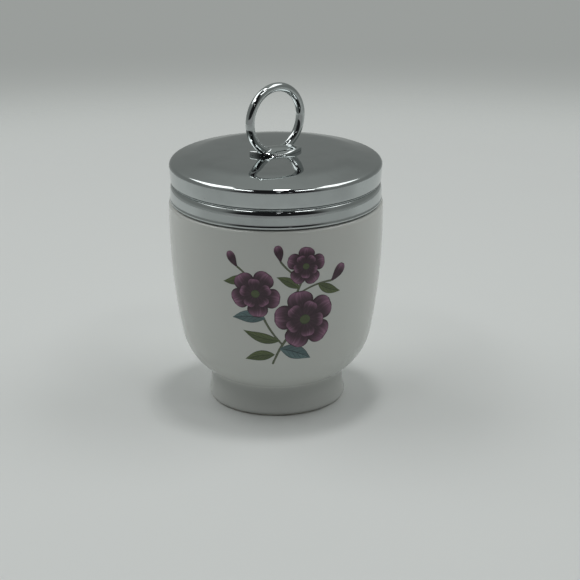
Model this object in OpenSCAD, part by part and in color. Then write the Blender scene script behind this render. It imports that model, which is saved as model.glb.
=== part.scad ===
// Porcelain egg coddler: a glazed cup on a foot ring, closed by a pressed metal
// screw lid with a wire lifting ring. Millimetres, +Z up, the origin on the
// surface that the foot ring stands on, on the axis of the cup.

/* [Cup body] */
// Largest diameter of the body
body_d = 60.4; // [57:0.2:66]
// Height at which the body is widest
body_widest_z = 54; // [46:0.5:57]
// Radius of the gentle curve of the side
side_r = 185; // [140:5:260]
// Height at which the side turns into the bowl
bowl_top_z = 20.6; // [18:0.2:24]
// Radius of the curve that turns the side under to the foot
bowl_r = 17.9; // [16.5:0.1:19]
// Height of the ledge that the lid's hem closes down to
ledge_z = 58.4; // [57:0.2:64]
// Rounding of the ledge's outer edge
ledge_edge_r = 0.9; // [0.3:0.1:1.4]

/* [Cup inside] */
// Thickness of the porcelain round the bowl
bowl_wall = 4.5; // [3.6:0.1:5.6]
// Rounding of the rim
rim_edge_r = 1.1; // [0.4:0.1:1.3]

/* [Neck] */
// Free width between the neck and the ridge inside the lid, where the thread lies
thread_room = 0.9; // [0.6:0.05:1.2]
// Thickness of the neck, from the mouth to the thread's root
neck_wall = 2.9; // [2.4:0.1:4]
// Rounding where the neck rises from the ledge
neck_root_r = 0.8; // [0.3:0.1:1.2]

/* [Foot ring] */
// Outer diameter of the foot ring near its lower edge
foot_d = 39.1; // [36:0.2:42]
// How far the foot ring is drawn in where it meets the bowl
foot_waist = 0.4; // [0:0.05:0.9]
// Hollow rounding between bowl and foot ring
foot_fillet_r = 1.3; // [0.6:0.1:2]
// Rounding of the lower outer edge
foot_edge_r = 1.1; // [0.5:0.1:1.5]
// Width of the foot ring
foot_wall = 3.5; // [2.8:0.1:4.5]
// Height of the hollow under the cup, inside the foot ring
foot_hollow_h = 4.2; // [3:0.1:5]

/* [Lid] */
// How far the lid's upper skirt stands in from the side of the cup's body
lid_inset = 0.3; // [0.2:0.05:1]
// Height of the lid from its hem to the middle of its top
lid_h = 13.2; // [12.4:0.1:16]
// Thickness of the lid's metal
lid_wall = 0.55; // [0.4:0.05:0.7]
// How far the lid's top falls from its middle to its rounded edge
dome_h = 1.85; // [1.2:0.05:2.4]
// Diameter of the flat middle of the top
dome_pad_d = 16; // [15.5:0.5:22]
// How the fall grows outwards: 2 is an even dome, more keeps the middle flatter
dome_power = 4; // [2:0.5:5]
// Rounding of the lid's top edge
shoulder_r = 1.35; // [0.9:0.05:1.6]
// How far the upper skirt draws in towards the groove
skirt_taper = 0.3; // [0:0.05:0.4]
// How much narrower the lower skirt is than the upper one's top, on each side
lower_inset = 0.2; // [0:0.05:0.3]
// Height of the groove above the hem's lower edge
groove_h = 5.55; // [5:0.05:6.6]
// Depth of the groove
groove_depth = 0.85; // [0.5:0.05:1]
// Width of the groove at its bottom
groove_w = 0.4; // [0.2:0.05:0.5]
// Height of the rounded shoulder under the groove
second_shoulder_h = 2.3; // [1.4:0.1:2.6]
// Height over which the ridge that the groove raises inside fades out
ridge_fade = 2; // [1.4:0.1:2.6]
// Thickness of the curled hem
hem_d = 1.24; // [1:0.02:1.6]
// Free height between the hem and the cup's ledge
hem_gap = 0.25; // [0.1:0.05:0.5]

/* [Gasket] */
// Thickness of the gasket
gasket_h = 1.2; // [0.8:0.1:1.6]
// How far the gasket reaches past the rim, inwards and outwards
gasket_overlap = 0.3; // [0.1:0.1:0.6]
// Free height between gasket and rim
gasket_rim_gap = 0.1; // [0.05:0.05:0.3]
// Free height between gasket and lid
gasket_lid_gap = 0.15; // [0.1:0.05:0.3]

/* [Lifting ring and saddle] */
// Diameter of the lifting ring on the centre of its wire
ring_d = 18.2; // [16:0.2:22]
// Diameter of the ring's wire
wire_d = 2.5; // [2:0.1:3]
// How deep the wire is filed flat where it stands on the lid
ring_flat = 0.8; // [0.4:0.1:1]
// Length of the saddle
saddle_l = 15.4; // [12:0.2:15.8]
// Width of the saddle
saddle_w = 6; // [4.6:0.2:7.4]
// Height of the saddle at its middle
saddle_h = 1.5; // [1.2:0.1:2]
// Turn of the saddle's length away from the ring's plane
saddle_turn = -16; // [-40:1:40]
// Radius of the saddle's crowned top
saddle_crown_r = 26; // [24:1:60]
// Clearance round the wire where it lies in the saddle
saddle_clearance = 0.03; // [0.02:0.01:0.08]

/* [Hidden] */
$fn = 96;

glaze = [0.93, 0.94, 0.93];
chrome = [0.72, 0.74, 0.76];
rubber = [0.25, 0.25, 0.26];

// Radii
body_r = body_d / 2;
foot_r = foot_d / 2;
waist_r = foot_r - foot_waist;
foot_in_r = foot_r - foot_wall;
lid_r = body_r - lid_inset;
pad_r = dome_pad_d / 2;
hem_r = hem_d / 2;
wire_r = wire_d / 2;

// The side is an arc, and the bowl is a tighter arc that is tangent to it
side_x = body_r - side_r;
turn_a = asin((bowl_top_z - body_widest_z) / side_r);
bowl_x = side_x + (side_r - bowl_r) * cos(turn_a);
bowl_z = body_widest_z + (side_r - bowl_r) * sin(turn_a);
function side_radius(z) = side_x + sqrt(pow(side_r, 2) - pow(z - body_widest_z, 2));
ledge_r = side_radius(ledge_z - ledge_edge_r);
side_end_a = asin((ledge_z - ledge_edge_r - body_widest_z) / side_r);

// A hollow fillet touches the bowl on one side and the foot ring on the other
fillet_x = waist_r + foot_fillet_r;
fillet_z = bowl_z - sqrt(pow(bowl_r + foot_fillet_r, 2) - pow(fillet_x - bowl_x, 2));
fillet_a = atan2(bowl_z - fillet_z, bowl_x - fillet_x);

// Heights of the lid, from the ledge upwards
hem_z = ledge_z + hem_gap;
lid_top_z = hem_z + lid_h;
groove_z = hem_z + groove_h;
// The dome's slope where it meets the rounded edge, found in a few rounds
function edge_a(rounds) = rounds == 0 ? 20 :
    atan(dome_power * dome_h / (lid_r - shoulder_r * (1 - sin(edge_a(rounds - 1))) - pad_r));
dome_edge_a = edge_a(6);
dome_r = lid_r - shoulder_r * (1 - sin(dome_edge_a));
function dome_part(r) = max(0, r - pad_r) / (dome_r - pad_r);
function dome_z(r) = lid_top_z - dome_h * pow(dome_part(r), dome_power);
function dome_slope_a(r) =
    atan(dome_power * dome_h / (dome_r - pad_r) * pow(dome_part(r), dome_power - 1));
shoulder_x = dome_r - shoulder_r * sin(dome_edge_a);
shoulder_z = dome_z(dome_r) - shoulder_r * cos(dome_edge_a);
upper_foot_r = lid_r - skirt_taper;
lower_r = lid_r - lower_inset;
groove_r = lower_r - groove_depth;
inner_r = lower_r - lid_wall;
corner_r = 0.3;
// The groove raises a ridge inside, which is what grips the cup's thread
ridge_h = groove_depth + groove_w / 2;

// The neck stands clear of that ridge by the room for the thread
neck_r = inner_r - ridge_h - thread_room;
mouth_r = neck_r - neck_wall;

// The gasket lies between rim and lid, and the rim comes up to it
gasket_out_r = neck_r + gasket_overlap;
gasket_in_r = mouth_r - gasket_overlap;
gasket_top_z = dome_z(gasket_out_r) - lid_wall / cos(dome_edge_a) - gasket_lid_gap;
gasket_z = gasket_top_z - gasket_h;
rim_z = gasket_z - gasket_rim_gap;

// Inside, the bowl keeps one thickness and runs up into a straight drawn wall
well_r = bowl_r - bowl_wall;
mouth_span = norm([mouth_r - bowl_x, rim_z - rim_edge_r - bowl_z]);
well_a = atan2(rim_z - rim_edge_r - bowl_z, mouth_r - bowl_x) - acos(well_r / mouth_span);

// The ring stands on the lid's pad, on the flat filed on its wire
ring_z = lid_top_z - ring_flat + wire_r + ring_d / 2;

// Points of an arc in the profile plane, from angle a to angle b
function arc(x, z, r, a, b, steps) =
    [for (i = [0 : steps]) let (t = a + (b - a) * i / steps) [x + r * cos(t), z + r * sin(t)]];

function cup_outside() = concat(
    [[foot_r - foot_edge_r, 0]],
    arc(foot_r - foot_edge_r, foot_edge_r, foot_edge_r, -75, 0, 5),
    arc(fillet_x, fillet_z, foot_fillet_r, 180, fillet_a, 6),
    arc(bowl_x, bowl_z, bowl_r, fillet_a - 180, turn_a, 20),
    arc(side_x, body_widest_z, side_r, turn_a, side_end_a, 16),
    arc(ledge_r - ledge_edge_r, ledge_z - ledge_edge_r, ledge_edge_r, 0, 90, 6)
);

function cup_neck() = concat(
    arc(neck_r + neck_root_r, ledge_z + neck_root_r, neck_root_r, 270, 180, 5),
    arc(neck_r - rim_edge_r, rim_z - rim_edge_r, rim_edge_r, 0, 90, 6),
    arc(mouth_r + rim_edge_r, rim_z - rim_edge_r, rim_edge_r, 90, 180, 6)
);

function cup_inside() = concat(
    arc(bowl_x, bowl_z, well_r, well_a, -90, 18),
    [[0, bowl_z - well_r]]
);

function cup_underside() = concat(
    [[0, foot_hollow_h]],
    arc(foot_in_r - 1.5, foot_hollow_h - 1, 1, 90, 0, 4),
    arc(foot_in_r + 0.6, 0.6, 0.6, 180, 270, 4)
);

module cup() {
    color(glaze)
    rotate_extrude($fn = 180)
    polygon(concat(cup_outside(), cup_neck(), cup_inside(), cup_underside()));
}

module lid_gasket() {
    color(rubber)
    rotate_extrude($fn = 120)
    translate([gasket_in_r, gasket_z])
    square([gasket_out_r - gasket_in_r, gasket_h]);
}

function dome_points(drop) =
    [for (i = [0 : 12]) let (r = pad_r + (dome_r - pad_r) * i / 12) [r, dome_z(r) - drop]];

function second_shoulder() =
    [for (a = [0 : 15 : 90])
        [groove_r + groove_depth * sin(a),
         groove_z - groove_w / 2 - second_shoulder_h * (1 - cos(a))]];

function lid_outside() = concat(
    [[0, lid_top_z]],
    dome_points(0),
    arc(shoulder_x, shoulder_z, shoulder_r, 78 - dome_edge_a, 0, 8),
    arc(upper_foot_r - corner_r, groove_z + groove_w / 2 + corner_r, corner_r, 0, -90, 4),
    arc(groove_r, groove_z, groove_w / 2, 90, 270, 6),
    second_shoulder(),
    [[lower_r, hem_z + hem_r]]
);

function ridge_points() =
    [for (i = [0 : 12]) let (s = 2 * i / 12 - 1)
        [inner_r - ridge_h * (1 + cos(180 * s)) / 2, groove_z + ridge_fade * s]];

function lid_inside() = concat(
    [[inner_r, hem_z + hem_r]],
    ridge_points(),
    [[lid_r - lid_wall, shoulder_z]],
    [for (i = [12 : -1 : 0]) let (r = pad_r + (shoulder_x - pad_r) * i / 12)
        [r, dome_z(r) - lid_wall / cos(dome_slope_a(r))]],
    [[0, lid_top_z - lid_wall]]
);

module curled_hem() {
    rotate_extrude($fn = 180)
    translate([lower_r + 0.15 - hem_r, hem_z + hem_r])
    circle(r = hem_r, $fn = 32);
}

module lid_shell() {
    color(chrome)
    union() {
        rotate_extrude($fn = 180)
        polygon(concat(lid_outside(), lid_inside()));
        curled_hem();
    }
}

module ring_torus(extra) {
    translate([0, 0, ring_z])
    rotate([90, 0, 0])
    rotate_extrude($fn = 120)
    translate([ring_d / 2, 0])
    circle(r = wire_r + extra, $fn = 48);
}

module lifting_ring() {
    color(chrome)
    difference() {
        ring_torus(0);
        translate([-ring_d, -wire_d, lid_top_z - 2 * wire_d])
        cube([2 * ring_d, 2 * wire_d, 2 * wire_d]);
    }
}

// Seen from above the saddle is the lens that two circles share
lens_r = (pow(saddle_l / 2, 2) + pow(saddle_w / 2, 2)) / saddle_w;

module ring_saddle() {
    color(chrome)
    difference() {
        rotate([0, 0, saddle_turn])
        intersection() {
            translate([0, lens_r - saddle_w / 2, lid_top_z])
            cylinder(r = lens_r, h = saddle_h, $fn = 120);
            translate([0, saddle_w / 2 - lens_r, lid_top_z])
            cylinder(r = lens_r, h = saddle_h, $fn = 120);
            translate([0, 0, lid_top_z + saddle_h - saddle_crown_r])
            sphere(r = saddle_crown_r, $fn = 180);
        }
        ring_torus(saddle_clearance);
    }
}

cup();
lid_gasket();
lid_shell();
ring_saddle();
lifting_ring();
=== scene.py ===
"""Looks of the porcelain egg coddler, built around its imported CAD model.

Sizes are in metres, in the frame of the CAD: the origin is on the surface that
the foot ring stands on, +Z is the cup's axis and +X lies in the plane of the
lifting ring.
"""

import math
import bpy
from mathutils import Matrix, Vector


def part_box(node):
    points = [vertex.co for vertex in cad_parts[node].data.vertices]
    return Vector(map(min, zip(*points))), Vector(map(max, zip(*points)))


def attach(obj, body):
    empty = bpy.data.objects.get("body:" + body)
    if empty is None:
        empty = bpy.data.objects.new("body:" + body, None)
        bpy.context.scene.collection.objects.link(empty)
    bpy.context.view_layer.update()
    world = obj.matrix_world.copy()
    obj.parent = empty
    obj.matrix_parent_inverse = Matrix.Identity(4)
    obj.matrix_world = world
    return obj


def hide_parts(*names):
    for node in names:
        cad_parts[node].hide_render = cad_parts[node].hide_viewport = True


bl_info = {
    "name": "Porcelain egg coddler",
    "version": (1, 0, 0),
    "blender": (4, 5, 0),
    "location": "3D View > Sidebar > Coddler",
    "description": "Models the glazed cup, its chrome lid and its printed sprig",
    "category": "Object",
}

import bpy
from mathutils import Matrix, Vector

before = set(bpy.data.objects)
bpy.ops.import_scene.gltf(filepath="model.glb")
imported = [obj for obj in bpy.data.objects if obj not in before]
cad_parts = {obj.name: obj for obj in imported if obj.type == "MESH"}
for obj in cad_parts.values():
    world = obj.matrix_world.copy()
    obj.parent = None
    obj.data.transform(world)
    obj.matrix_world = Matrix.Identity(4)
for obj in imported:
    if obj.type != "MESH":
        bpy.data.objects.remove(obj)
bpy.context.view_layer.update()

MM = 0.001
CUP_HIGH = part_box("cup")[1]
LID_LOW, LID_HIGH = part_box("lid_shell")
SEAL_LOW, SEAL_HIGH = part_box("lid_gasket")
SADDLE_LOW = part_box("ring_saddle")[0]
RING_LOW, RING_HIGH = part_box("lifting_ring")

# the neck of the cup, which the thread is wound on, in millimetres
NECK_R = 27.2


# ---------------------------------------------------------------- modelling


def select_nothing():
    """Leaves edit mode and deselects every object."""
    if bpy.context.object and bpy.context.object.mode != "OBJECT":
        bpy.ops.object.mode_set(mode="OBJECT")
    bpy.ops.object.select_all(action="DESELECT")


def take(piece):
    """Makes one piece the only selected and the active one."""
    select_nothing()
    piece.select_set(True)
    bpy.context.view_layer.objects.active = piece
    return piece


def edit(piece):
    """Enters edit mode on one piece with all of it selected."""
    take(piece)
    bpy.ops.object.mode_set(mode="EDIT")
    bpy.ops.mesh.select_mode(type="VERT")
    bpy.ops.mesh.select_all(action="SELECT")


def leave_edit():
    bpy.ops.object.mode_set(mode="OBJECT")


def pick(piece, wanted):
    """Enters edit mode with the vertices selected that a test takes."""
    leave_edit()
    mesh = piece.data
    for items in (mesh.vertices, mesh.edges, mesh.polygons):
        items.foreach_set("select", [False] * len(items))
    for v in mesh.vertices:
        v.select = wanted(v.co)
    bpy.ops.object.mode_set(mode="EDIT")


def named(name):
    """Gives the piece that an operator has just added its own name."""
    piece = bpy.context.object
    piece.name = name
    piece.data.name = name
    return piece


def settle(piece):
    """Moves a piece's place into its mesh."""
    take(piece)
    bpy.ops.object.transform_apply(location=True, rotation=True, scale=True)


def modify(piece, kind, **settings):
    """Adds a modifier with its settings and applies it."""
    take(piece)
    bpy.ops.object.modifier_add(type=kind)
    modifier = piece.modifiers[-1]
    for key, value in settings.items():
        setattr(modifier, key, value)
    bpy.ops.object.modifier_apply(modifier=modifier.name)


def remove(piece):
    take(piece)
    bpy.ops.object.delete()


def smooth(piece, angle=math.radians(35)):
    take(piece)
    bpy.ops.object.shade_smooth_by_angle(angle=angle)


def outward(piece):
    """Merges doubles and turns every face outwards."""
    edit(piece)
    bpy.ops.mesh.remove_doubles(threshold=1e-6)
    bpy.ops.mesh.normals_make_consistent(inside=False)
    leave_edit()


def drawn(name, points, closed=False):
    """Draws a chain of edges through points, extruding one vertex at a time."""
    select_nothing()
    bpy.ops.mesh.primitive_plane_add(size=MM, location=(0, 0, 0))
    piece = named(name)
    bpy.ops.object.mode_set(mode="EDIT")
    bpy.ops.mesh.select_all(action="SELECT")
    bpy.ops.mesh.merge(type="CENTER")
    bpy.ops.transform.translate(value=points[0])
    for here, there in zip(points, points[1:]):
        step = Vector(there) - Vector(here)
        bpy.ops.mesh.extrude_region_move(TRANSFORM_OT_translate={"value": step})
    if closed:
        bpy.ops.mesh.select_all(action="SELECT")
        bpy.ops.mesh.edge_face_add()
    leave_edit()
    return piece


def turned(name, outline, steps):
    """Spins an outline of (radius, height) in millimetres round the Z axis."""
    piece = drawn(name, [(r * MM, 0, z * MM) for r, z in outline])
    edit(piece)
    bpy.ops.mesh.spin(
        steps=steps, angle=2 * math.pi, center=(0, 0, 0), axis=(0, 0, 1)
    )
    leave_edit()
    outward(piece)
    return piece


def arc(x, z, r, start, end, steps):
    """Points of an arc in millimetres, from one angle to another in degrees."""
    angles = [math.radians(start + (end - start) * i / steps) for i in range(steps + 1)]
    return [(x + r * math.cos(a), z + r * math.sin(a)) for a in angles]


def dress(piece, material, body, slot, *nodes):
    """Gives a piece its finish, its body and the CAD nodes that it stands for."""
    piece.data.materials.clear()
    piece.data.materials.append(material)
    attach(piece, body)
    if nodes:
        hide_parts(*nodes)


# ---------------------------------------------------------------- shader maths


class Wire:
    """A node's output, with arithmetic that adds the Math nodes it needs."""

    def __init__(self, nodes, socket):
        self.nodes, self.socket = nodes, socket

    def _math(self, operation, *values):
        return self.nodes.node("ShaderNodeMath", {"operation": operation}, *values)

    def __add__(self, other):
        return self._math("ADD", self, other)

    def __sub__(self, other):
        return self._math("SUBTRACT", self, other)

    def __rsub__(self, other):
        return self._math("SUBTRACT", other, self)

    def __mul__(self, other):
        return self._math("MULTIPLY", self, other)

    def abs(self):
        return self._math("ABSOLUTE", self)

    def root(self):
        return self._math("SQRT", self)

    def fraction(self):
        return self._math("FRACT", self)

    def larger(self, other):
        return self._math("MAXIMUM", self, other)

    def ramp(self, low, high):
        """0 below low, 1 above high, smooth in between. Low may be the larger."""
        below, above = (1.0, 0.0) if low > high else (0.0, 1.0)
        return self.nodes.node(
            "ShaderNodeMapRange",
            {"interpolation_type": "SMOOTHSTEP"},
            self,
            min(low, high),
            max(low, high),
            below,
            above,
        )


class Nodes:
    """A node tree under construction, with one method for every kind of node."""

    def __init__(self, tree):
        self.tree, self.place = tree, None

    def node(self, kind, settings, *values, out=0, **by_name):
        """Adds a node with its settings, joins values to its sockets, gives an output."""
        made = self.tree.nodes.new(kind)
        for key, value in settings.items():
            setattr(made, key, value)
        sockets = list(zip(made.inputs, values))
        sockets += [(made.inputs[k.replace("_", " ")], v) for k, v in by_name.items()]
        for socket, value in sockets:
            self.join(value, socket)
        return Wire(self, made.outputs[out])

    def join(self, value, socket):
        if value is None:
            return
        if isinstance(value, Wire):
            self.tree.links.new(value.socket, socket)
        elif socket.type == "RGBA":
            socket.default_value = (*value, 1)
        else:
            socket.default_value = value

    def where(self):
        """Object coordinates, which are metres in the frame of the CAD."""
        if self.place is None:
            self.place = self.node("ShaderNodeTexCoord", {}, out="Object")
        return self.place

    def split(self, vector):
        """The three numbers of a vector."""
        parts = self.tree.nodes.new("ShaderNodeSeparateXYZ")
        self.join(vector, parts.inputs[0])
        return [Wire(self, s) for s in parts.outputs]

    def from_axis(self):
        """Distance from the cup's axis, and height."""
        x, y, z = self.split(self.where())
        return (x * x + y * y).root(), z

    def along(self):
        """Place along and across a printed shape, each from 0 to 1."""
        return self.split(self.node("ShaderNodeTexCoord", {}, out="UV"))[:2]

    def streaks(self, along, across):
        """Noise that is drawn out along a printed shape."""
        drawn_out = self.node(
            "ShaderNodeMapping",
            {},
            self.node("ShaderNodeTexCoord", {}, out="UV"),
            Scale=(along, across, 1),
        )
        return self.node(
            "ShaderNodeTexNoise", {}, Vector=drawn_out, Scale=1.0, Detail=2.0
        )

    def noise(self, size, detail=3.0, stretch=(1, 1, 1)):
        """Cloudy noise with features of about that size in metres, from 0 to 1."""
        place = self.node("ShaderNodeMapping", {}, self.where(), Scale=stretch)
        return self.node(
            "ShaderNodeTexNoise", {}, Vector=place, Scale=1 / size, Detail=detail
        )

    def cells(self, size):
        """Distance from the nearest of many scattered points."""
        return self.node(
            "ShaderNodeTexVoronoi", {}, Vector=self.where(), Scale=1 / size
        )

    def mix(self, factor, first, second):
        """A colour between two colours."""
        made = self.tree.nodes.new("ShaderNodeMix")
        made.data_type = "RGBA"
        for value, i in ((factor, 0), (first, 6), (second, 7)):
            self.join(value, made.inputs[i])
        return Wire(self, made.outputs[2])

    def bump(self, height, distance, strength=1.0, under=None):
        """Raises the surface by a pattern, over an earlier bump if there is one."""
        made = self.tree.nodes.new("ShaderNodeBump")
        made.inputs["Distance"].default_value = distance
        made.inputs["Strength"].default_value = strength
        self.join(height, made.inputs["Height"])
        self.join(under, made.inputs["Normal"])
        return Wire(self, made.outputs[0])


class Finish(Nodes):
    """A material under construction."""

    def __init__(self, name, **constants):
        self.material = bpy.data.materials.new(name)
        self.material.use_nodes = True
        super().__init__(self.material.node_tree)
        self.shader = self.tree.nodes["Principled BSDF"]
        for socket, value in constants.items():
            self.shader.inputs[socket.replace("_", " ")].default_value = value

    def set(self, **links):
        """Joins patterns to the shader and gives the finished material."""
        for socket, value in links.items():
            self.join(value, self.shader.inputs[socket.replace("_", " ")])
        return self.material


# ---------------------------------------------------------------- materials


def scaled(tint, factor):
    """A colour made darker or paler by one factor, or by one for each channel."""
    factors = factor if isinstance(factor, tuple) else (factor,) * 3
    return tuple(c * k for c, k in zip(tint, factors))


def enamel_gloss(f):
    """The gloss of a printed colour, a little uneven."""
    return f.noise(0.004).ramp(0.3, 0.7) * 0.05 + 0.1


def glaze(body):
    """White glaze with painted shade on the foot under the bowl, bare on its contact face.
    """
    f = Finish("white_glaze", IOR=1.5, Coat_Weight=0.0)
    radius, height = f.from_axis()
    warm = scaled(body.glaze, (1.0, 0.995, 0.985))
    cool = scaled(body.glaze, (0.995, 1.0, 0.99))
    colour = f.mix(f.noise(0.02, 2.0).ramp(0.35, 0.65), warm, cool)
    specks = f.cells(0.0042).ramp(0.055, 0.02) * f.noise(0.009, 1.0).ramp(0.56, 0.62)
    colour = f.mix(specks * 0.35, colour, (0.30, 0.27, 0.22))
    # painted shade: the glaze colour is darkened on the foot, where the bowl shades it
    foot_painted_shade = height.ramp(0.0095, 0.0070)
    colour = f.mix(foot_painted_shade, colour, scaled(body.glaze, 0.84))
    bare = height.ramp(0.00062, 0.0004) * radius.ramp(0.0150, 0.0156)
    grime = f.noise(0.0016, 4.0).ramp(0.38, 0.62)
    clay = f.mix(grime, (0.56, 0.53, 0.48), (0.40, 0.37, 0.33))
    colour = f.mix(bare, colour, clay)
    rough = f.noise(0.006, 3.0).ramp(0.3, 0.7) * 0.02 + 0.035
    rough = rough * (1 - bare) + bare * 0.8
    waves = f.bump(f.noise(0.011, 1.0), 0.00018, 0.5)
    grain = f.bump(f.noise(0.0004, 2.0) * bare, 0.00006, 1.0, waves)
    return f.set(Base_Color=colour, Roughness=rough, Normal=grain)


def plating(name, tint, wave=0.00012):
    """Bright chrome plate with light handling marks."""
    f = Finish(name, Metallic=1.0)
    film = f.noise(0.008, 4.0).ramp(0.45, 0.75)
    colour = f.mix(film * 0.6, tint, scaled(tint, 0.86))
    pits = f.cells(0.0035).ramp(0.05, 0.02) * f.noise(0.006, 1.0).ramp(0.55, 0.6)
    colour = f.mix(pits * 0.8, colour, (0.06, 0.06, 0.055))
    hair = f.noise(0.0011, 3.0, stretch=(1, 1, 7)).ramp(0.55, 0.75)
    rough = film * 0.05 + hair * 0.05 + 0.05
    rough = rough.larger(pits * 0.5)
    bent = f.bump(f.noise(0.009, 1.0), wave, 0.6)
    return f.set(Base_Color=colour, Roughness=rough, Normal=bent)


def rubber():
    """Dark moulded rubber with a faint bloom."""
    f = Finish("seal_rubber", IOR=1.5)
    bloom = f.noise(0.004, 4.0).ramp(0.4, 0.7)
    colour = f.mix(bloom, (0.035, 0.035, 0.037), (0.075, 0.075, 0.075))
    rough = bloom * 0.15 + 0.6
    return f.set(
        Base_Color=colour,
        Roughness=rough,
        Normal=f.bump(f.noise(0.0004, 3.0), 0.00004, 0.6),
    )


def petal_ink(values):
    """Mauve enamel, plum at the petal's base, with fine veins and an outline."""
    f = Finish("print_mauve", IOR=1.5)
    u, v = f.along()
    middle = (v - 0.5).abs()
    vein = tuple(a * 0.55 + b * 0.25 for a, b in zip(values.plum, values.mauve))
    pale = tuple(min(1.0, c * 1.3 + 0.03) for c in values.mauve)
    colour = f.mix(f.streaks(1.2, 5).ramp(0.42, 0.66), values.mauve, pale)
    deep = (u + f.streaks(1.0, 9) * 0.5).ramp(1.32, 0.80)
    colour = f.mix(deep * 0.95, colour, values.plum)
    fine = f.streaks(1.6, 26).ramp(0.5, 0.64)
    colour = f.mix(fine * (1 - u * 0.5) * 0.8, colour, vein)
    edge = middle.ramp(0.455, 0.485).larger(u.ramp(0.95, 0.985))
    colour = f.mix(edge * 0.85, colour, values.plum)
    return f.set(Base_Color=colour, Roughness=enamel_gloss(f))


LEAF_VEINS = 6.0


def leaf_ink(name, fill, line):
    """Green or blue enamel with a midrib, slanting veins and an outline."""
    f = Finish(name, IOR=1.5)
    u, v = f.along()
    middle = (v - 0.5).abs()
    colour = f.mix(f.streaks(2.5, 4).ramp(0.4, 0.65), fill, scaled(fill, 1.25))
    shade = (v - 0.5).ramp(-0.06, 0.1)
    colour = f.mix(shade * 0.4, colour, scaled(fill, 0.45))
    slant = u * LEAF_VEINS - middle * (LEAF_VEINS * 0.55)
    ribs = slant.fraction().ramp(0.14, 0.05) * middle.ramp(0.46, 0.3)
    ribs = ribs.larger(middle.ramp(0.05, 0.02) * u.ramp(0.97, 0.9))
    edge = middle.ramp(0.44, 0.48)
    colour = f.mix(ribs.larger(edge) * 0.85, colour, line)
    return f.set(Base_Color=colour, Roughness=enamel_gloss(f))


def stem_ink(name, fill, line):
    """Plain enamel of the stems and hearts, stippled and outlined."""
    f = Finish(name, IOR=1.5)
    middle = (f.along()[1] - 0.5).abs()
    dots = f.cells(0.0005).ramp(0.3, 0.15)
    colour = f.mix(dots * 0.6, fill, line)
    colour = f.mix(middle.ramp(0.34, 0.46) * 0.8, colour, line)
    return f.set(Base_Color=colour, Roughness=enamel_gloss(f))


# ---------------------------------------------------------------- sizes


def length(name, default, description):
    return bpy.props.FloatProperty(
        name=name,
        default=default,
        description=description,
        subtype="DISTANCE",
        unit="LENGTH",
        precision=5,
    )


def angle(name, degrees, description):
    return bpy.props.FloatProperty(
        name=name,
        default=math.radians(degrees),
        description=description,
        subtype="ANGLE",
        unit="ROTATION",
    )


def paint(name, default, description):
    return bpy.props.FloatVectorProperty(
        name=name, default=default, description=description, subtype="COLOR", size=3
    )


class CoddlerBody(bpy.types.PropertyGroup):
    """The glazed cup."""

    side: length("Side curve", 0.185, "Radius of the gentle curve of the side")
    bowl: length("Bowl curve", 0.0179, "Radius of the curve that turns under to the foot")
    foot: length("Foot ring", 0.03910, "Outer diameter of the foot ring")
    thread: length("Thread height", 0.0007, "How far the thread stands out of the neck")
    pitch: length("Thread pitch", 0.0025, "Rise of the thread in one turn")
    glaze: paint("Glaze", (0.64, 0.655, 0.63), "Colour of the glaze")


class CoddlerLid(bpy.types.PropertyGroup):
    """The pressed metal lid."""

    wall: length("Metal", 0.00055, "Thickness of the lid's metal")
    dome: length("Dome", 0.00181, "How far the top falls from its middle to its edge")
    shoulder: length("Shoulder", 0.00135, "Rounding of the lid's top edge")
    groove: length("Groove", 0.00085, "Depth of the rolled groove")
    hem: length("Hem", 0.00124, "Thickness of the curled hem")
    plate: paint("Plate", (0.505, 0.535, 0.535), "Colour of the chrome plate")


class CoddlerRing(bpy.types.PropertyGroup):
    """The lifting ring in its saddle."""

    wire: length("Wire", 0.0025, "Diameter of the ring's wire")
    saddle_long: length("Saddle length", 0.0154, "Length of the boat-shaped saddle")
    saddle_wide: length("Saddle width", 0.0084, "Width of the saddle at its middle")
    saddle_tall: length("Saddle height", 0.0018, "Height of the saddle with its solder")
    saddle_crown: length("Saddle crown", 0.040, "Radius along the saddle's top")
    saddle_round: length("Saddle round", 0.0070, "Radius across the saddle's top")
    saddle_turn: angle("Saddle turn", -22, "Turn of the saddle away from the ring's plane")
    solder: bpy.props.IntProperty(
        name="Solder",
        default=10,
        description="How far the solder runs into the corner of wire and saddle",
    )


class CoddlerPrint(bpy.types.PropertyGroup):
    """The sprig of flowers printed on the front of the cup."""

    turn: angle("Place round the cup", -35, "Direction of the print's middle")
    height: length("Height", 0.0365, "Height of the print's middle above the table")
    lift: length("Lift", 0.00002, "How far the lowest printed colour lies off the glaze")
    mauve: paint("Petals", (0.27, 0.12, 0.205), "Colour of the petals' outer parts")
    plum: paint("Petal base", (0.025, 0.006, 0.014), "Colour at the petals' bases")
    olive: paint("Leaves", (0.095, 0.127, 0.046), "Colour of the green leaves")
    teal: paint("Blue leaves", (0.10, 0.168, 0.176), "Colour of the blue leaves")
    stem: paint("Stems", (0.115, 0.135, 0.08), "Colour of the stems")


class CoddlerStage(bpy.types.PropertyGroup):
    """Camera, floor and lights."""

    turn: angle("View azimuth", -40, "Side from which the camera looks")
    floor: paint("Floor", (0.675, 0.695, 0.685), "Colour of the floor")
    backdrop: paint("Backdrop", (0.30, 0.315, 0.305), "Colour far behind the object")


# ---------------------------------------------------------------- operators


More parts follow.
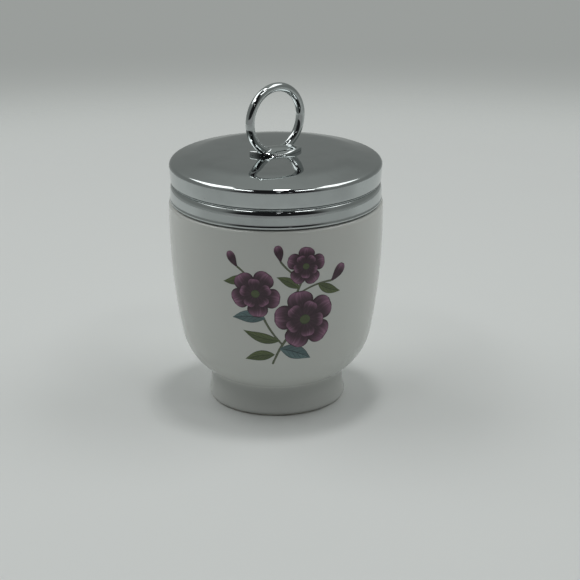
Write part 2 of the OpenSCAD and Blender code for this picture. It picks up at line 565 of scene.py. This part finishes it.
class CODDLER_OT_stage(bpy.types.Operator):
    """Adds the camera, the floor, the backdrop and the soft lights"""

    bl_idname = "coddler.stage"
    bl_label = "Stage and camera"

    def execute(self, context):
        values = context.scene.coddler_stage
        self.add_camera(context, values)
        self.add_floor(values)
        self.add_world(context, values)
        self.add_lights(values)
        return {"FINISHED"}

    def add_camera(self, context, values):
        select_nothing()
        back, high = 0.5093, 0.2176
        pan, pitch, roll = 0.0076, 0.3514, -0.0038
        turn = Matrix.Rotation(values.turn, 3, "Z")
        look = Vector(
            (
                math.sin(pan) * math.cos(pitch),
                math.cos(pan) * math.cos(pitch),
                -math.sin(pitch),
            )
        )
        right = Vector((math.cos(pan), -math.sin(pan), 0))
        up = right.cross(look)
        right, up = (
            right * math.cos(roll) + up * math.sin(roll),
            up * math.cos(roll) - right * math.sin(roll),
        )
        axes = Matrix((turn @ right, turn @ up, turn @ -look)).transposed()
        bpy.ops.object.camera_add(location=turn @ Vector((0, -back, high)))
        camera = context.object
        camera.rotation_euler = axes.to_euler()
        camera.data.sensor_width = 36
        camera.data.lens = 117.4
        camera.data.clip_start = 0.01
        context.scene.camera = camera

    def add_floor(self, values):
        select_nothing()
        bpy.ops.mesh.primitive_circle_add(vertices=96, radius=1.6, fill_type="NGON")
        floor = named("floor")
        f = Finish("floor_paper", Roughness=0.85)
        x, y, _ = f.split(f.where())
        far, _ = f.from_axis()
        paper = f.mix(f.noise(0.05, 2.0), values.floor, scaled(values.floor, 0.985))
        # in front of the picture the floor lies in the shade of the room
        turn = values.turn
        near = (x * math.sin(turn) + y * -math.cos(turn)).ramp(-0.03, 0.06)
        seen = f.node("ShaderNodeLightPath", {}, out="Is Camera Ray")
        shade = near * far.ramp(0.11, 0.19) * (1 - seen)
        f.set(Base_Color=f.mix(shade, paper, scaled(values.floor, 0.79)))
        clear = f.node("ShaderNodeBsdfTransparent", {})
        solid = Wire(f, f.shader.outputs[0])
        shown = f.node("ShaderNodeMixShader", {}, far.ramp(0.24, 0.40), solid, clear)
        out = f.tree.nodes["Material Output"]
        f.tree.links.new(shown.socket, out.inputs["Surface"])
        floor.data.materials.append(f.material)

    def add_world(self, context, values):
        world = bpy.data.worlds.new("room")
        context.scene.world = world
        world.use_nodes = True
        f = Nodes(world.node_tree)
        x, y, z = f.split(f.node("ShaderNodeTexCoord", {}, out="Generated"))
        ground, near, low, high = (
            scaled(values.backdrop, factor) for factor in (1.72, 1.08, 0.76, 1.12)
        )
        sky = f.mix(z.ramp(-0.277, -0.222), ground, near)
        sky = f.mix(z.ramp(-0.18, 0.1), sky, low)
        sky = f.mix(z.ramp(0.36, 0.75), sky, high)
        # the room in front of the tent is dark, up to the lamp overhead
        turn = values.turn
        front = x * math.sin(turn) + y * -math.cos(turn)
        seen = f.node("ShaderNodeLightPath", {}, out="Is Camera Ray")
        side = (x * math.cos(turn) + y * math.sin(turn)).abs()
        gap = side.ramp(0.44, 0.30) * front.ramp(-0.06, 0.06)
        dark = front.ramp(0.45, 0.8).larger(gap) * (1 - seen)
        room, room_floor = (0.016, 0.016, 0.017), (0.33, 0.33, 0.33)
        sky = f.mix(dark * z.ramp(-0.02, 0.02), sky, room)
        sky = f.mix(dark * z.ramp(0.02, -0.02), sky, room_floor)
        f.join(sky, f.tree.nodes["Background"].inputs["Color"])

    def add_lights(self, values):
        for name, azimuth, elevation, distance, width, depth, power in (
            ("left_softbox", -108, 54, 0.9, 0.70, 0.42, 2.15),
            ("left_strip", -47, 55, 0.9, 0.26, 0.08, 0.46),
            ("left_glint", 3.5, 34, 0.9, 0.05, 0.035, 0.022),
            ("right_softbox", 102, 54, 0.9, 0.60, 0.40, 1.58),
            ("right_strip", 41, 54, 0.9, 0.26, 0.08, 0.44),
            ("right_glint", 15, 26, 0.9, 0.035, 0.025, 0.008),
            ("top_lamp", 135, 86, 0.9, 0.085, 0.12, 1.5),
            ("ceiling_lamp", 8, 68, 0.8, 0.06, 0.06, 0.05),
        ):
            a = values.turn + math.radians(azimuth)
            e = math.radians(elevation)
            away = Vector(
                (math.sin(a) * math.cos(e), -math.cos(a) * math.cos(e), math.sin(e))
            )
            select_nothing()
            bpy.ops.object.light_add(
                type="AREA", location=Vector((0, 0, 0.05)) + away * distance
            )
            light = bpy.context.object
            light.name = name
            light.data.shape = "RECTANGLE"
            light.data.size, light.data.size_y = width, depth
            light.data.energy = power
            light.rotation_euler = away.to_track_quat("Z", "Y").to_euler()
            light.visible_camera = False
            light.visible_diffuse = "glint" not in name


class CODDLER_OT_cup(bpy.types.Operator):
    """Turns the cup's profile, foot ring, neck and inside in one piece"""

    bl_idname = "coddler.cup"
    bl_label = "Glazed cup"

    def execute(self, context):
        values = context.scene.coddler_body
        cup = turned("cup_glazed", self.outline(values), 192)
        self.add_thread(values, cup)
        smooth(cup, math.radians(50))
        dress(cup, glaze(values), "cup", "porcelain", "cup")
        return {"FINISHED"}

    def outline(self, values):
        """The cup's section, outside and inside, as radius and height in mm."""
        body_r, rim = CUP_HIGH.x / MM, CUP_HIGH.z / MM
        side, bowl, foot = values.side / MM, values.bowl / MM, values.foot / MM / 2
        widest, bowl_top, ledge, ledge_edge = 54.0, 20.6, 58.4, 0.9
        neck, mouth, rim_edge, root = NECK_R, 24.3, 1.1, 0.8
        waist, fillet, foot_edge, foot_in, hollow = foot - 0.4, 1.3, 1.1, foot - 3.5, 4.2
        side_x = body_r - side
        turn = math.degrees(math.asin((bowl_top - widest) / side))
        bowl_x = side_x + (side - bowl) * math.cos(math.radians(turn))
        bowl_z = widest + (side - bowl) * math.sin(math.radians(turn))
        top = math.degrees(math.asin((ledge - ledge_edge - widest) / side))
        ledge_r = side_x + side * math.cos(math.radians(top))
        fillet_x = waist + fillet
        fillet_z = bowl_z - math.sqrt((bowl + fillet) ** 2 - (fillet_x - bowl_x) ** 2)
        fillet_a = math.degrees(math.atan2(bowl_z - fillet_z, bowl_x - fillet_x))
        # the foot's flank is hollowed between its edge and the bowl
        flare, lean = 13, 7
        edge = arc(foot - foot_edge, foot_edge, foot_edge, -75, flare, 10)
        flank_top = arc(fillet_x, fillet_z, fillet, 180 - lean, 180, 1)[0]
        (low_r, low_z), (high_r, high_z) = edge[-1], flank_top
        tall = high_z - low_z
        miss = low_r - high_r - math.radians(flare - lean) / 2 * tall
        cove = []
        for i in range(1, 12):
            t = i / 12
            bent = math.radians(flare - (flare + lean) * t / 2) * t
            cove.append((low_r - bent * tall - miss * t, low_z + tall * t))
        # the inside is a bowl under a straight wall that touches it
        well = bowl - 4.5
        span_x, span_z = mouth - bowl_x, rim - rim_edge - bowl_z
        well_a = math.degrees(
            math.atan2(span_z, span_x) - math.acos(well / math.hypot(span_x, span_z))
        )
        straight = arc(bowl_x, bowl_z, well, well_a, well_a, 1)[0]
        wall = [
            (
                mouth + (straight[0] - mouth) * i / 12,
                rim - rim_edge + (straight[1] - rim + rim_edge) * i / 12,
            )
            for i in range(1, 12)
        ]
        return (
            [(0, hollow), (4, hollow), (8, hollow)]
            + arc(foot_in - 1.5, hollow - 1, 1, 90, 0, 6)
            + arc(foot_in + 0.6, 0.6, 0.6, 180, 270, 6)
            + [(foot - foot_edge - 0.15, 0)]
            + edge
            + cove
            + arc(fillet_x, fillet_z, fillet, 180 - lean, fillet_a, 8)
            + arc(bowl_x, bowl_z, bowl, fillet_a - 180, turn, 34)[1:]
            + arc(side_x, widest, side, turn, top, 26)[1:]
            + arc(ledge_r - ledge_edge, ledge - ledge_edge, ledge_edge, 0, 90, 8)
            + arc(neck + root, ledge + root, root, 270, 180, 6)
            + [(neck, ledge + 2.5), (neck, ledge + 5), (neck, ledge + 7)]
            + arc(neck - rim_edge, rim - rim_edge, rim_edge, 0, 90, 8)
            + arc(mouth + rim_edge, rim - rim_edge, rim_edge, 90, 180, 8)
            + wall
            + arc(bowl_x, bowl_z, well, well_a, -90, 30)
            + [(bowl_x * 0.6, bowl_z - well), (bowl_x * 0.25, bowl_z - well)]
            + [(0, bowl_z - well)]
        )

    def add_thread(self, values, cup):
        """Winds a rounded ridge round the neck and joins it to the cup."""
        tall, pitch = values.thread / MM, values.pitch / MM
        low, half, root, turns, steps = 61.6, 0.8, NECK_R - 0.4, 1.4, 96
        section = [(root, low - half - 0.1)]
        for i in range(9):
            s = -1 + i / 4
            out = tall * (0.5 + 0.5 * math.cos(math.pi * s))
            section.append((NECK_R + out, low + half * s))
        section.append((root, low + half + 0.1))
        thread = drawn("neck_thread", [(r * MM, 0, z * MM) for r, z in section])
        modify(
            thread,
            "SCREW",
            axis="Z",
            angle=2 * math.pi * turns,
            screw_offset=pitch * turns * MM,
            steps=round(steps * turns),
            render_steps=round(steps * turns),
            use_smooth_shade=True,
        )
        # the ridge sinks back into the neck over its first and last sixth of a turn
        rows, width = round(steps * turns) + 1, len(section)
        sunk = (NECK_R - 0.2) * MM
        for v in thread.data.vertices:
            row = v.index // width
            keep = min(1.0, min(row, rows - 1 - row) / (steps / 6))
            r = math.hypot(v.co.x, v.co.y)
            wanted = sunk + (r - sunk) * keep
            v.co.x, v.co.y = v.co.x * wanted / r, v.co.y * wanted / r
        outward(thread)
        take(thread)
        cup.select_set(True)
        bpy.context.view_layer.objects.active = cup
        bpy.ops.object.join()


class CODDLER_OT_lid(bpy.types.Operator):
    """Turns the pressed lid with its dome, rolled groove and curled hem"""

    bl_idname = "coddler.lid"
    bl_label = "Chrome lid"

    def execute(self, context):
        values = context.scene.coddler_lid
        lid = turned("lid_pressed", self.outline(values), 192)
        smooth(lid, math.radians(40))
        metal = plating("lid_chrome_plate", tuple(values.plate))
        dress(lid, metal, "lid", "lid_chrome", "lid_shell")
        return {"FINISHED"}

    def outline(self, values):
        """The lid's section, outside and inside, as radius and height in mm."""
        wall, dome, shoulder = values.wall / MM, values.dome / MM, values.shoulder / MM
        depth, hem_r = values.groove / MM, values.hem / MM / 2
        lid_r, top, hem_z = LID_HIGH.x / MM, LID_HIGH.z / MM, LID_LOW.z / MM
        lower, pad, cone, power = lid_r - 0.2, 8.0, 24.0, 5.0
        corner, narrow, lip, lip_out, fall = 0.25, 0.1, 0.17, 0.3, 2.05
        taper, ridge_half = 0.3, 2.0
        groove_z, groove_r, inner = hem_z + 5.55, lower - depth, lower - wall
        # level in the middle, then ever steeper, and an even cone at the edge
        edge_a = math.radians(14)
        for _ in range(6):
            dome_r = lid_r - shoulder * (1 - math.sin(edge_a))
            steep = dome / ((cone - pad) / (power + 1) + dome_r - cone)
            edge_a = math.atan(steep)

        def share(r):
            return min(1.0, max(0.0, r - pad) / (cone - pad))

        def dome_z(r):
            curved = (cone - pad) / (power + 1) * share(r) ** (power + 1)
            return top - steep * (curved + max(0.0, r - cone))

        def dome_a(r):
            return math.atan(steep * share(r) ** power)

        shoulder_x = dome_r - shoulder * math.sin(edge_a)
        shoulder_z = dome_z(dome_r) - shoulder * math.cos(edge_a)
        upper = lid_r - taper
        outer = [(0, top), (4, top)]
        for i in range(37):
            r = pad + (dome_r - pad) * i / 36
            outer.append((r, dome_z(r)))
        outer += arc(shoulder_x, shoulder_z, shoulder, 90 - math.degrees(edge_a), 0, 16)[1:]
        edge_z = groove_z + 0.4
        curl_z = edge_z + corner
        outer += [
            (lid_r + (upper - lid_r) * i / 6, shoulder_z + (curl_z - shoulder_z) * i / 6)
            for i in range(1, 6)
        ]
        outer += arc(upper - corner, curl_z, corner, 0, -90, 6)
        # a fine lip stands between two narrow grooves, over the second shoulder
        lip_z = edge_z - 2 * narrow - lip
        crest = lip_z - lip - 2 * narrow
        outer += arc(groove_r + narrow, edge_z - narrow, narrow, 90, 270, 6)
        outer += arc(groove_r + lip_out, lip_z, lip, 90, -90, 8)
        outer += arc(groove_r + narrow, crest + narrow, narrow, 90, 270, 6)
        outer += [
            (
                groove_r + narrow + (depth - narrow) * math.sin(math.radians(a)),
                crest - fall * (1 - math.cos(math.radians(a))),
            )
            for a in range(6, 91, 6)
        ]
        outer += [(lower, hem_z + h) for h in (2.7, 2.2, 1.7, 1.3)]
        # the hem is curled inwards round a bead
        bead_x = lower + 0.15 - hem_r
        outer += arc(bead_x, hem_z + hem_r, hem_r, 35, -200, 24)
        ridge_h = depth + 0.2
        inside = [(inner, hem_z + 1.35)]
        inside += [
            (inner - ridge_h * (1 + math.cos(math.pi * s)) / 2, groove_z + ridge_half * s)
            for s in (i / 8 - 1 for i in range(17))
        ]
        inside += [(lid_r - wall, shoulder_z)]
        for i in range(16, -1, -1):
            r = pad + (shoulder_x - pad) * i / 16
            inside.append((r, dome_z(r) - wall / math.cos(dome_a(r))))
        inside += [(0, top - wall)]
        return outer + inside


class CODDLER_OT_gasket(bpy.types.Operator):
    """Turns the rubber seal that lies under the lid's top"""

    bl_idname = "coddler.gasket"
    bl_label = "Rubber seal"

    def execute(self, context):
        low, high = SEAL_LOW.z / MM, SEAL_HIGH.z / MM
        outer, inner, round_r = SEAL_HIGH.x / MM, 24.0, 0.25
        outline = []
        for x, z, start in (
            (outer - round_r, high - round_r, 90),
            (outer - round_r, low + round_r, 0),
            (inner + round_r, low + round_r, -90),
            (inner + round_r, high - round_r, -180),
        ):
            outline += arc(x, z, round_r, start, start - 90, 4)
        outline.append(outline[0])
        gasket = turned("seal_ring", outline, 144)
        smooth(gasket)
        dress(gasket, rubber(), "gasket", "gasket_rubber", "lid_gasket")
        return {"FINISHED"}


class CODDLER_OT_ring(bpy.types.Operator):
    """Models the wire lifting ring and the soldered saddle that it stands in"""

    bl_idname = "coddler.ring"
    bl_label = "Lifting ring and saddle"

    def execute(self, context):
        values = context.scene.coddler_ring
        plate = tuple(context.scene.coddler_lid.plate)
        metal = plating("ring_chrome_plate", plate, wave=0.00005)
        wire_r = values.wire / 2
        across = RING_HIGH.x - wire_r
        middle = RING_HIGH.z - wire_r - across
        ring = self.torus("ring_wire", across, wire_r, middle)
        self.trim(ring, RING_LOW.z, -1)
        smooth(ring)
        dress(ring, metal, "lid", "lid_chrome", "lifting_ring")

        saddle = self.saddle_block(values, ring)
        dress(saddle, metal, "lid", "lid_chrome", "ring_saddle")
        return {"FINISHED"}

    def torus(self, name, across, wire_r, middle):
        select_nothing()
        bpy.ops.mesh.primitive_torus_add(
            major_segments=160,
            minor_segments=40,
            major_radius=across,
            minor_radius=wire_r,
            location=(0, 0, middle),
            rotation=(math.pi / 2, 0, 0),
        )
        ring = named(name)
        settle(ring)
        return ring

    def saddle_block(self, values, ring):
        """A low boat-shaped pad, run into the foot of the wire with solder."""
        long, wide = values.saddle_long / 2, values.saddle_wide / 2
        tall, base = values.saddle_tall, SADDLE_LOW.z
        buried, round_z, stub_top = 0.0006, 0.005, 0.0024
        steps = [-1 + i / 14 for i in range(29)]
        plan = [(long * x, wide * (1 - abs(x) ** 2.1), -buried) for x in steps]
        plan += [(x, -y, z) for x, y, z in plan[-2:0:-1]]
        saddle = drawn("saddle_block", plan, closed=True)
        edit(saddle)
        bpy.ops.mesh.extrude_region_move(
            TRANSFORM_OT_translate={"value": (0, 0, tall + buried)}
        )
        leave_edit()
        outward(saddle)
        select_nothing()
        bpy.ops.mesh.primitive_uv_sphere_add(
            segments=160, ring_count=80, radius=1, location=(0, 0, tall - round_z)
        )
        dome = named("saddle_dome")
        dome.scale = (
            math.sqrt(values.saddle_crown * round_z),
            math.sqrt(values.saddle_round * round_z),
            round_z,
        )
        settle(dome)
        modify(saddle, "BOOLEAN", operation="INTERSECT", object=dome, solver="EXACT")
        remove(dome)
        saddle.rotation_euler.z = values.saddle_turn
        saddle.location.z = base
        settle(saddle)

        # the foot of the wire is melted into the pad
        take(ring)
        bpy.ops.object.duplicate(linked=False)
        stub = bpy.context.object
        self.trim(stub, base + stub_top, 1)
        take(saddle)
        stub.select_set(True)
        bpy.ops.object.join()
        modify(saddle, "REMESH", mode="VOXEL", voxel_size=0.00015)
        modify(saddle, "SMOOTH", factor=0.5, iterations=values.solder)
        self.trim(saddle, base, -1)
        smooth(saddle, math.radians(60))
        return saddle

    def trim(self, piece, height, side):
        """Cuts a piece level and closes it, keeping what is below or above."""
        edit(piece)
        bpy.ops.mesh.bisect(
            plane_co=(0, 0, height),
            plane_no=(0, 0, side),
            use_fill=True,
            clear_outer=True,
        )
        leave_edit()
        outward(piece)


# thickness of one layer of printed colour
COAT = 0.000004


class CODDLER_OT_print(bpy.types.Operator):
    """Lays the printed sprig of flowers, leaves and stems on the glaze"""

    bl_idname = "coddler.print"
    bl_label = "Printed sprig"

    # all in millimetres from the middle of the print, x to the right and z up
    blossoms = (
        # x, z, diameter, turn
        (5.5, -4.0, 17.0, 12),
        (-8.5, 4.0, 13.5, 40),
        (5.5, 11.8, 10.5, -5),
    )
    buds = (
        # from, to, width, bow
        ((13.2, 6.6), (16.8, 11.0), 3.0, 20),
        ((-13.6, 11.6), (-15.8, 15.8), 2.5, -20),
        ((-1.5, 13.5), (-2.5, 18.0), 2.5, 15),
    )
    stems = (
        ((-4.0, -18.5), (5.0, -4.5), 0.85, -30),
        ((-0.7, -12.0), (-8.5, 4.5), 0.75, -35),
        ((0.3, -9.6), (6.0, 11.0), 0.7, -25),
        ((3.2, 3.6), (13.2, 6.6), 0.6, -40),
        ((-9.5, 7.0), (-13.6, 11.6), 0.6, 30),
        ((3.0, 9.0), (-1.5, 13.5), 0.6, -20),
    )
    leaves = (
        ((-3.2, -15.0), (-12.5, -17.0), 3.4, 25),
        ((-1.6, -10.4), (-12.5, -7.4), 3.2, -25),
        ((9.0, 6.4), (16.2, 3.0), 2.8, 25),
        ((-11.0, 9.0), (-17.8, 6.8), 2.6, -30),
        ((3.8, 5.4), (-2.6, 9.0), 2.6, 20),
    )
    blue_leaves = (
        ((-1.8, -13.0), (7.8, -16.8), 4.6, -25),
        ((-5.8, -3.5), (-15.5, -3.8), 3.8, 30),
    )

    def execute(self, context):
        values = context.scene.coddler_print
        cup = bpy.data.objects["cup_glazed"]
        self.values, self.cup = values, cup
        self.radius = CUP_HIGH.x
        petal = self.shape("petal", self.petal_width, 18, 8)
        leaf = self.shape("leaf", self.leaf_width, 18, 6)
        strip = self.shape("strip", lambda u: 0.75 + 0.25 * u, 18, 2)
        disc = self.shape("disc", lambda u: 2 * math.sqrt(u * (1 - u)), 14, 8)

        # the last number is the layer of colour, from the glaze outwards
        stems = [self.lay(strip, *place, 0) for place in self.stems]
        leaves = [self.lay(leaf, *place, 1) for place in self.leaves]
        blue = [self.lay(leaf, *place, 2) for place in self.blue_leaves]
        petals = [self.lay(petal, *place, 3) for place in self.buds]
        hearts = []
        for x, z, across, turn in self.blossoms:
            for ring, share, wide, count in ((0, 0.52, 0.44, 5), (1, 0.33, 0.27, 5)):
                for i in range(count):
                    a = math.radians(turn + 90 + 72 * i + 36 * ring)
                    far, near = across * share, across * 0.03
                    bow = 14 if i % 2 else -14
                    petals.append(
                        self.lay(
                            petal,
                            (x + near * math.cos(a), z + near * math.sin(a)),
                            (x + far * math.cos(a), z + far * math.sin(a)),
                            across * wide,
                            bow,
                            4 + 6 * ring + i,
                        )
                    )
            half = across * 0.09
            hearts.append(self.lay(disc, (x - half, z), (x + half, z), half * 2, 0, 16))
        for shape in (petal, leaf, strip, disc):
            remove(shape)
        green, blue_green = tuple(values.olive), tuple(values.teal)
        line, blue_line = scaled(green, 0.25), scaled(blue_green, 0.2)
        stem = stem_ink("print_stem", tuple(values.stem), scaled(values.stem, 0.22))
        for name, pieces, ink in (
            ("print_stems", stems, stem),
            ("print_leaves", leaves, leaf_ink("print_olive", green, line)),
            ("print_blue_leaves", blue, leaf_ink("print_teal", blue_green, blue_line)),
            ("print_petals", petals, petal_ink(values)),
            ("print_hearts", hearts, stem_ink("print_heart", scaled(green, 0.8), line)),
        ):
            self.finish(name, pieces, ink)
        return {"FINISHED"}

    def petal_width(self, u):
        """Width of a petal at a share of its length, from its base."""
        if u < 0.66:
            return 0.2 + 0.8 * math.sin(math.pi / 2 * u / 0.66) ** 1.25
        return math.sqrt(1 - 0.9 * ((u - 0.66) / 0.34) ** 2)

    def leaf_width(self, u):
        """Width of a leaf at a share of its length, from its stalk."""
        return math.sin(math.pi * u**0.85) ** 1.05

    def shape(self, name, width, rows, columns):
        """A flat shape from x = 0 to 1, whose rows are scaled to its widths."""
        select_nothing()
        bpy.ops.mesh.primitive_grid_add(
            x_subdivisions=rows, y_subdivisions=columns, size=1, location=(0.5, 0, 0)
        )
        piece = named(name)
        settle(piece)
        for i in range(rows + 1):
            here = i / rows
            pick(piece, lambda co: abs(co.x - here) < 0.2 / rows)
            wide = max(0.02, width(min(1.0, max(0.0, here))))
            bpy.ops.transform.resize(value=(1, wide, 1))
        leave_edit()
        return piece

    def lay(self, shape, start, end, width, bow, layer):
        """Puts a copy of a flat shape on the cup between two points."""
        take(shape)
        bpy.ops.object.duplicate(linked=False)
        piece = bpy.context.object
        mesh = piece.data
        first = [v.index for v in mesh.vertices if v.co.x < 0.001]
        last = [v.index for v in mesh.vertices if v.co.x > 0.999]
        reach = Vector((end[0] - start[0], end[1] - start[1], 0)) * MM
        piece.scale = (reach.length, width * MM, 1)
        settle(piece)
        if bow:
            modify(
                piece,
                "SIMPLE_DEFORM",
                deform_method="BEND",
                deform_axis="Z",
                angle=math.radians(bow),
            )

        def middle(indices):
            total = sum((piece.data.vertices[i].co for i in indices), Vector())
            return total / len(indices)

        root, span = middle(first), middle(last) - middle(first)
        turn = math.atan2(reach.y, reach.x) - math.atan2(span.y, span.x)
        grown = reach.length / span.length
        piece.location = -root
        settle(piece)
        piece.rotation_euler.z = turn
        piece.scale = (grown, grown, 1)
        piece.location = (start[0] * MM, start[1] * MM, 0)
        settle(piece)
        piece.rotation_euler.x = math.pi / 2
        piece.location.z = self.values.height
        settle(piece)
        places = [v.co.x for v in piece.data.vertices]
        modify(
            piece,
            "SIMPLE_DEFORM",
            deform_method="BEND",
            deform_axis="Z",
            angle=(max(places) - min(places)) / self.radius,
        )
        piece.location.y = -self.radius
        settle(piece)
        piece.rotation_euler.z = self.values.turn
        settle(piece)
        modify(
            piece,
            "SHRINKWRAP",
            target=self.cup,
            wrap_method="NEAREST_SURFACEPOINT",
            wrap_mode="ABOVE_SURFACE",
            offset=self.values.lift + layer * COAT,
        )
        return piece

    def finish(self, name, pieces, material):
        """Joins like pieces, thickens them to a film and gives them their colour."""
        take(pieces[0])
        for piece in pieces[1:]:
            piece.select_set(True)
        bpy.ops.object.join()
        joined = named(name)
        modify(joined, "SOLIDIFY", thickness=0.00001, offset=-1.0)
        smooth(joined, math.radians(60))
        dress(joined, material, "cup", "porcelain")


class CODDLER_PT_panel(bpy.types.Panel):
    """Lists the operators and the sizes of the coddler"""

    bl_idname = "CODDLER_PT_panel"
    bl_label = "Egg coddler"
    bl_space_type = "VIEW_3D"
    bl_region_type = "UI"
    bl_category = "Coddler"

    def draw(self, context):
        for group, _, operators in GROUPS:
            box = self.layout.box()
            values = getattr(context.scene, group)
            for key in type(values).__annotations__:
                box.prop(values, key)
            for operator in operators:
                box.operator(operator.bl_idname)


GROUPS = (
    ("coddler_stage", CoddlerStage, (CODDLER_OT_stage,)),
    ("coddler_body", CoddlerBody, (CODDLER_OT_cup,)),
    ("coddler_print", CoddlerPrint, (CODDLER_OT_print,)),
    ("coddler_lid", CoddlerLid, (CODDLER_OT_lid, CODDLER_OT_gasket)),
    ("coddler_ring", CoddlerRing, (CODDLER_OT_ring,)),
)
OPERATORS = [operator for *_, operators in GROUPS for operator in operators]
CLASSES = [kind for _, kind, _ in GROUPS] + OPERATORS + [CODDLER_PT_panel]


def register():
    for kind in CLASSES:
        bpy.utils.register_class(kind)
    for name, kind, _ in GROUPS:
        setattr(bpy.types.Scene, name, bpy.props.PointerProperty(type=kind))


def unregister():
    for name, _, _ in GROUPS:
        delattr(bpy.types.Scene, name)
    for kind in reversed(CLASSES):
        bpy.utils.unregister_class(kind)


def main():
    register()
    bpy.context.scene.view_settings.view_transform = "Standard"
    for operator in OPERATORS:
        group, name = operator.bl_idname.split(".")
        getattr(getattr(bpy.ops, group), name)()


if __name__ == "__main__":
    main()
